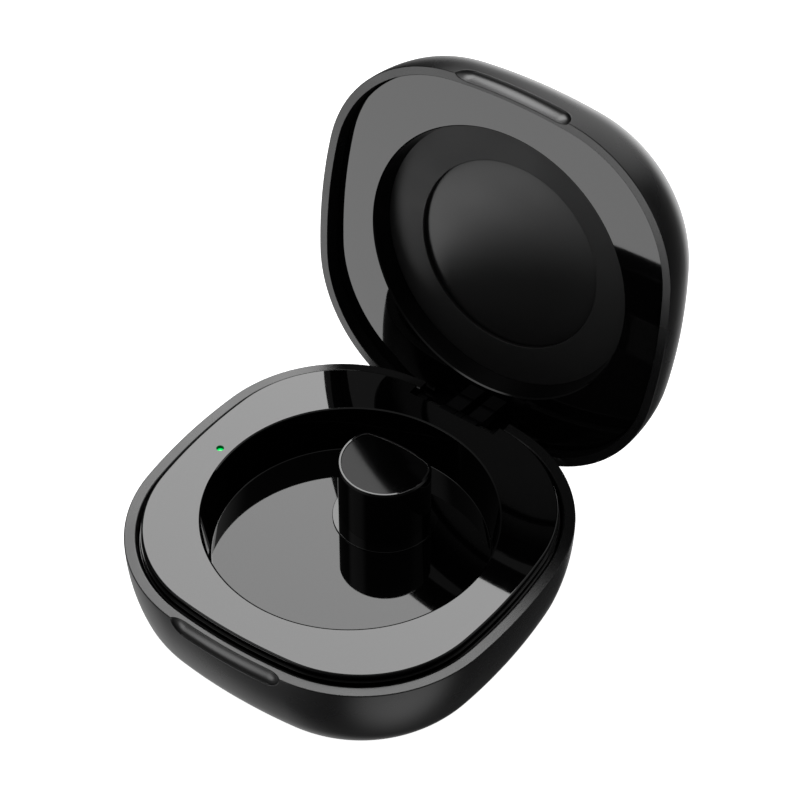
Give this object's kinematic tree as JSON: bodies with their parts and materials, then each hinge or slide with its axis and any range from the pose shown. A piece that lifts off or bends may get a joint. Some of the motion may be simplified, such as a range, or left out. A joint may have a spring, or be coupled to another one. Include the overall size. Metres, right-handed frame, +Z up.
{
  "type": "hinged charging case",
  "caption": "Pocket charging case with a rounded-square clamshell, a hinged lid, a glossy tray, a round well and a D-shaped charging post for a small wearable.",
  "frame": {"origin": "centre of the flat face that the case rests on, under the middle of the well", "axes": "+Z up; +Y towards the hinge, so -Y is the front with the thumb notch; +X along the hinge pin, to the right seen from the front. The lid is at rest fully open."},
  "size_m": [0.06, 0.0802, 0.0706],
  "materials": {
    "soft_touch": "matte soft-touch black, fine grain",
    "gloss_black": "polished piano black",
    "lining": "matte black moulding",
    "pad": "soft grained black pad",
    "lens": "clear green-tinted light pipe",
    "led": "small white LED body",
    "board": "green solder mask",
    "chip": "matte black mould compound",
    "cell": "satin pouch foil",
    "foam": "open-cell black foam",
    "copper": "enamelled copper wire",
    "ferrite": "sintered dark grey ferrite",
    "flex": "amber polyimide",
    "steel": "satin steel",
    "magnet": "bright nickel plate",
    "hinge_metal": "black coated die-cast metal",
    "nylon": "natural nylon"
  },
  "bodies": {
    "base": {"base_shell": "soft_touch", "cradle_tray": "gloss_black", "well_floor": "gloss_black", "charging_post": "gloss_black", "post_cap": "gloss_black", "status_lens": "lens", "status_led": "led", "main_board": "board", "board_chips": "chip", "battery_cell": "cell", "battery_foam": "foam", "charge_coil": "copper", "coil_core": "ferrite", "coil_flex": "flex", "usb_socket": "steel", "hall_sensor": "chip", "base_magnets": "magnet", "hinge_bracket": "hinge_metal", "hinge_pin": "steel", "hinge_bushes": "nylon", "bracket_screws": "steel", "board_screws": "steel"},
    "lid": {"lid_shell": "soft_touch", "lid_panel": "gloss_black", "lid_recess": "lining", "lid_pad": "pad", "lid_magnets": "magnet", "hall_magnet": "magnet", "lid_arm": "hinge_metal", "lid_arm_screws": "steel"}
  },
  "joints": [
    {"name": "lid_hinge", "type": "hinge", "parent": "base", "child": "lid", "pos_m": [0, 0.0269, 0.0153], "axis": [1, 0, 0], "range_deg": [0, 99]}
  ]
}
